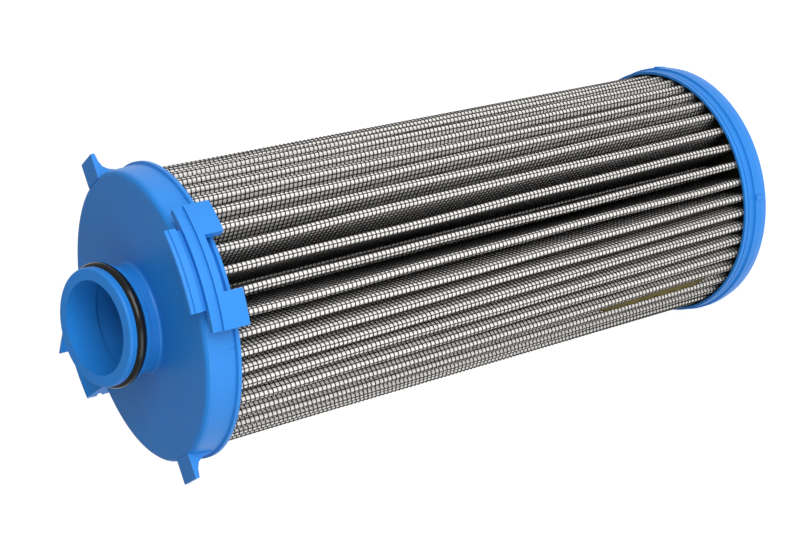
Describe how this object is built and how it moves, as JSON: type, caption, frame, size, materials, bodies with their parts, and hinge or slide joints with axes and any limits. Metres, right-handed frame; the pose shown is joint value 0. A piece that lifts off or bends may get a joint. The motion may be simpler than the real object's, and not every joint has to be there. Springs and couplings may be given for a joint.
{
  "type": "hydraulic filter element",
  "caption": "Cylindrical pleated hydraulic filter element with wire mesh outer layer, blue end caps, bayonet sectors, pull lugs and a leaning O-ring spigot.",
  "frame": {"origin": "centre of the base cap's closed face, which the element stands on", "axes": "+Z along the element to the spigot, +X through the middle of the plain bayonet sector, pull lugs on +Y and -Y"},
  "size_m": [0.1072, 0.1082, 0.2509],
  "materials": {
    "blue_plastic": "satin moulded",
    "black_rubber": "smooth",
    "adhesive": "cast",
    "tube_plastic": "satin moulded",
    "black_mesh": "coated woven wire",
    "media": "matt felt",
    "seam_adhesive": "cast"
  },
  "bodies": {
    "root": {"spigot_cap": "blue_plastic", "spigot_o_ring": "black_rubber", "base_cap": "blue_plastic", "spigot_cap_bed": "adhesive", "base_cap_bed": "adhesive", "support_tube": "tube_plastic", "outer_mesh": "black_mesh", "filter_media": "media", "pleat_seam": "seam_adhesive"}
  },
  "joints": []
}
